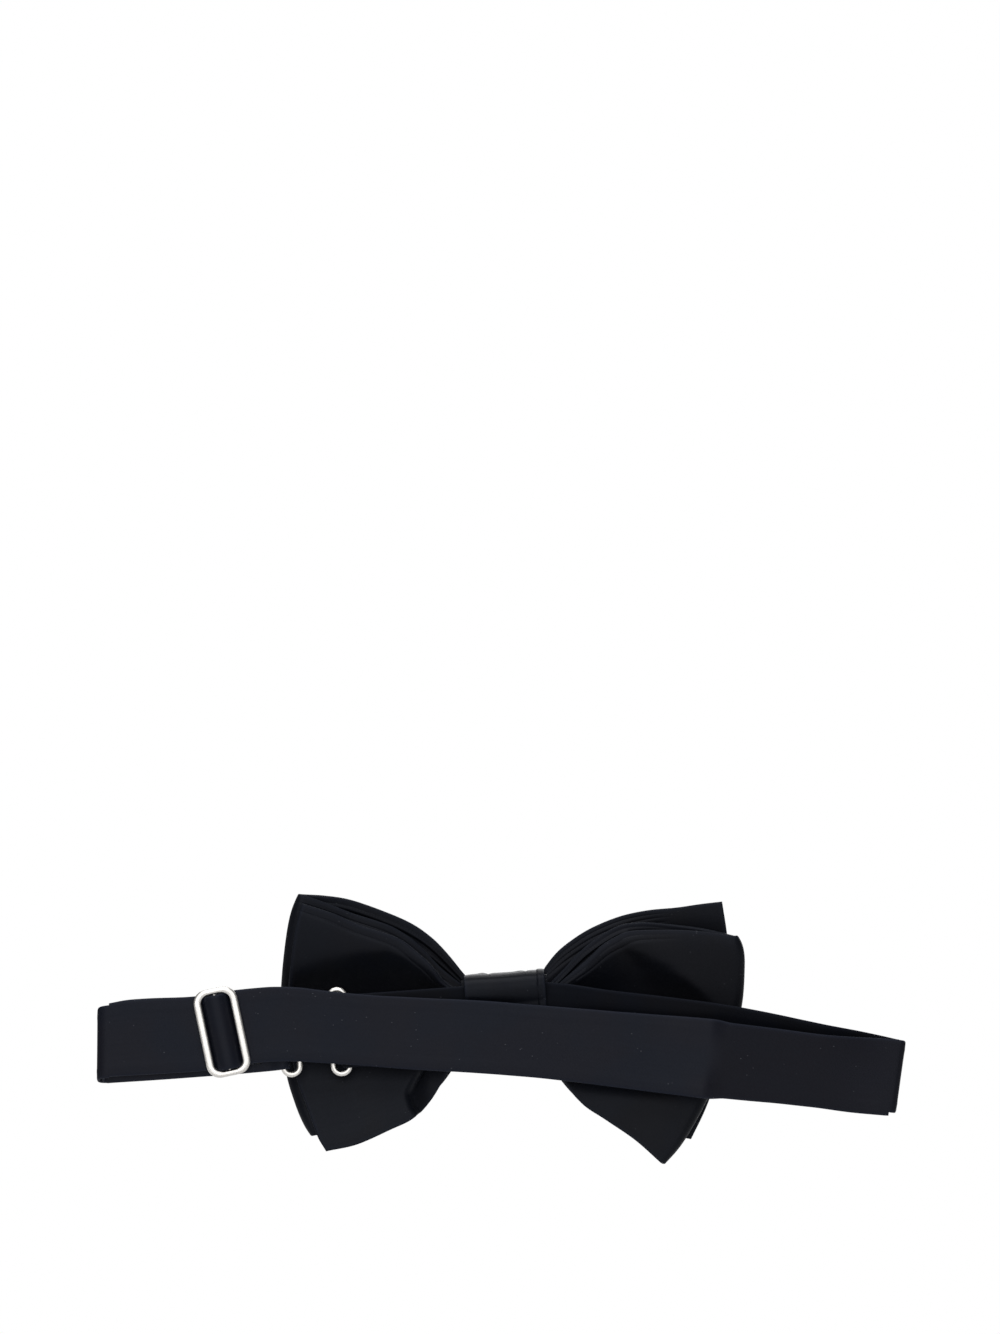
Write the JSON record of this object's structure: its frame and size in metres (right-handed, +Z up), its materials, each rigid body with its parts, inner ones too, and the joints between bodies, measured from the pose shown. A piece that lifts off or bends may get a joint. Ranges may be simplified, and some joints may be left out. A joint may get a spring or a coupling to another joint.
{
  "type": "bow tie",
  "caption": "Pre-tied butterfly bow tie in dark satin silk on an adjustable neck band with slider, hook and eye, band folded flat behind the bow.",
  "frame": {"origin": "centre of the knot's back face, where it bears on the front of the collar", "axes": "+X towards the wearer's left along the band, +Y towards the wearer's neck, +Z up; the front of the bow faces -Y"},
  "size_m": [0.2229, 0.0237, 0.0743],
  "materials": {
    "bow_silk": "satin silk, midnight",
    "band_silk": "satin silk, midnight blue",
    "interlining": "woven wool and cotton interlining",
    "thread": "sewing thread",
    "metal": "polished pale nickel"
  },
  "bodies": {
    "bow": {"left_tail_back_silk": "bow_silk", "left_tail_interlining": "interlining", "left_tail_front_silk": "bow_silk", "left_loop_outer_silk": "bow_silk", "left_loop_interlining": "interlining", "left_loop_inner_silk": "bow_silk", "right_loop_outer_silk": "bow_silk", "right_loop_interlining": "interlining", "right_loop_inner_silk": "bow_silk", "right_tail_back_silk": "bow_silk", "right_tail_interlining": "interlining", "right_tail_front_silk": "bow_silk", "pleated_waist": "bow_silk", "waist_thread": "thread", "knot_wrap": "bow_silk", "knot_interlining": "interlining", "wrap_seam_stitches": "thread", "short_band": "band_silk", "short_band_interlining": "interlining", "short_band_tack": "thread", "long_band": "band_silk", "long_band_interlining": "interlining"},
    "band_outer": {"outer_run": "band_silk", "outer_run_interlining": "interlining", "right_fold": "band_silk", "tail_run": "band_silk"},
    "band_inner_end": {"left_fold": "band_silk", "band_end": "band_silk", "band_end_tack": "thread"},
    "slider": {"slider": "metal", "band_crossover": "band_silk", "tail_loop": "band_silk"},
    "eye": {"eye": "metal"},
    "hook": {"hook": "metal"}
  },
  "joints": [
    {"name": "band_unfold", "type": "hinge", "parent": "bow", "child": "band_outer", "pos_m": [-0.1062, -0.0001, -0.0159], "axis": [-0.1392, 0, 0.9903], "range_deg": [0, 180], "deforming": ["right_fold"]},
    {"name": "band_end_unfold", "type": "hinge", "parent": "band_outer", "child": "band_inner_end", "pos_m": [0.1094, -0.0001, -0.0064], "axis": [0.0698, 0, 0.9976], "range_deg": [0, 180], "deforming": ["left_fold"]},
    {"name": "slider_slide", "type": "slide", "parent": "band_outer", "child": "slider", "axis": [0.9963, 0, -0.0854], "range_m": [-0.016, 0.02]},
    {"name": "eye_swivel", "type": "hinge", "parent": "band_inner_end", "child": "eye", "pos_m": [0.0617, -0.0016, -0.004], "axis": [0.0503, 0, 0.9987], "range_deg": [-15, 0]},
    {"name": "hook_swivel", "type": "hinge", "parent": "bow", "child": "hook", "pos_m": [0.0437, -0.0016, -0.00363], "axis": [0.0715, 0, 0.9974], "range_deg": [-12, 0]}
  ],
  "couplings": [
    {"joint": "band_end_unfold", "follows": "band_unfold", "ratio": 1}
  ]
}
